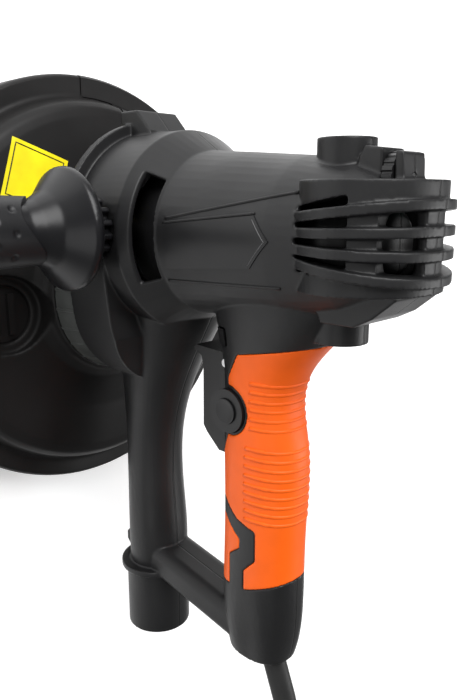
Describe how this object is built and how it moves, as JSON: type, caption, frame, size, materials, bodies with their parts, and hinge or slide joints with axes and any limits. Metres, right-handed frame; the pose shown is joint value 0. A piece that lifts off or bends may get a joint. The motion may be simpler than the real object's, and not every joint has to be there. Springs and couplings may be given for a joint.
{
  "type": "handheld disc sander",
  "caption": "Hand-held disc sander with a round dust hood, offset geared motor, D-shaped grip with trigger, dust tube, side handle and mains cord.",
  "frame": {"origin": "centre of the sanding face, on the spindle axis", "axes": "+Z along the spindle away from the work, parallel to the motor; +X down the hand grip to the cord; +Y to the side away from the auxiliary handle"},
  "size_m": [0.5426, 0.302, 0.2586],
  "materials": {
    "body_black": "fine spark texture",
    "hood_black": "fine spark texture",
    "grip_orange": "satin soft cover",
    "trim_black": "satin",
    "handle_black": "satin",
    "soft_black": "matte soft cover",
    "lens_grey": "frosted lens",
    "board_green": "solder mask",
    "bristle": "nylon bristles",
    "steel": "machined",
    "case_alu": "die cast",
    "gear_steel": "hardened",
    "copper": "enamelled copper",
    "brass": "pressed",
    "carbon": "carbon",
    "foam": "foam",
    "abrasive": "coated abrasive",
    "loop": "hook fabric",
    "pad_plastic": "glass-filled",
    "fan_plastic": "moulded",
    "cord_rubber": "matte"
  },
  "bodies": {
    "housing": {"hood": "hood_black", "brush_skirt": "bristle", "led_ring": "lens_grey", "led_board": "board_green", "hood_screws": "steel", "gear_case": "case_alu", "gear_cover": "case_alu", "gear_case_screws": "steel", "spindle_bearing_lower": "steel", "spindle_bearing_upper": "steel", "motor_bearing_front": "steel", "motor_bearing_rear": "steel", "bearing_sleeve": "soft_black", "stator_core": "gear_steel", "field_coils": "copper", "brush_holders": "brass", "carbon_brushes": "carbon", "brush_springs": "steel", "brush_caps": "trim_black", "housing_left": "body_black", "housing_right": "body_black", "trigger_pin": "steel", "grip_cover_left": "grip_orange", "grip_cover_right": "grip_orange", "grip_inlay": "grip_orange", "badges": "trim_black", "trigger_spring": "steel", "switch_module": "trim_black", "lock_bezel": "trim_black", "speed_board": "board_green", "side_stud": "steel", "side_handle": "handle_black", "side_sleeve": "soft_black", "strain_relief": "cord_rubber", "cord_clamp": "trim_black", "power_cord": "cord_rubber", "cord_coil": "cord_rubber", "power_plug": "cord_rubber", "plug_pins": "brass", "housing_screws": "steel"},
    "pad_drive": {"spindle": "steel", "output_gear": "gear_steel", "abrasive_disc": "abrasive", "loop_face": "loop", "pad_foam": "foam", "backing_plate": "pad_plastic", "pad_nut": "steel"},
    "armature": {"armature_shaft": "steel", "pinion": "gear_steel", "rotor_core": "gear_steel", "rotor_windings": "copper", "commutator": "copper", "cooling_fan": "fan_plastic"},
    "trigger": {"trigger": "trim_black"},
    "lock_button": {"lock_button": "trim_black"},
    "light_switch": {"light_slider": "trim_black"},
    "speed_dial": {"speed_dial": "trim_black"},
    "edge_segment": {"hood_edge_segment": "hood_black", "segment_brush": "bristle"},
    "air_valve": {"air_valve": "hood_black"}
  },
  "joints": [
    {"name": "spindle_spin", "type": "hinge", "parent": "housing", "child": "pad_drive", "pos_m": [0, 0, 0.05], "axis": [0, 0, 1], "continuous": true},
    {"name": "armature_spin", "type": "hinge", "parent": "housing", "child": "armature", "pos_m": [-0.035, 0, 0.15], "axis": [0, 0, 1], "continuous": true},
    {"name": "trigger_pull", "type": "hinge", "parent": "housing", "child": "trigger", "pos_m": [0.0245, 0, 0.1585], "axis": [0, -1, 0], "range_deg": [0, 6.5], "stiffness_Nm_per_rad": 0.6, "springref_deg": -8.59, "deforming": ["trigger_spring"]},
    {"name": "lock_button_press", "type": "slide", "parent": "housing", "child": "lock_button", "axis": [0, 1, 0], "range_m": [0, 0.0024], "stiffness_N_per_m": 400, "springref_m": -0.001},
    {"name": "light_switch_slide", "type": "slide", "parent": "housing", "child": "light_switch", "axis": [0, 0, -1], "range_m": [0, 0.003]},
    {"name": "speed_dial_turn", "type": "hinge", "parent": "housing", "child": "speed_dial", "pos_m": [-0.06, 0, 0.2386], "axis": [0, 0, 1], "range_deg": [0, 270]},
    {"name": "edge_segment_pull", "type": "slide", "parent": "housing", "child": "edge_segment", "axis": [-0.7771, 0.6293, 0], "range_m": [0, 0.03]},
    {"name": "air_valve_turn", "type": "hinge", "parent": "housing", "child": "air_valve", "pos_m": [0.0087, -0.06522, 0.043], "axis": [0, 0, 1], "range_deg": [0, 180]}
  ],
  "couplings": [
    {"joint": "armature_spin", "follows": "spindle_spin", "ratio": -5.2222}
  ]
}
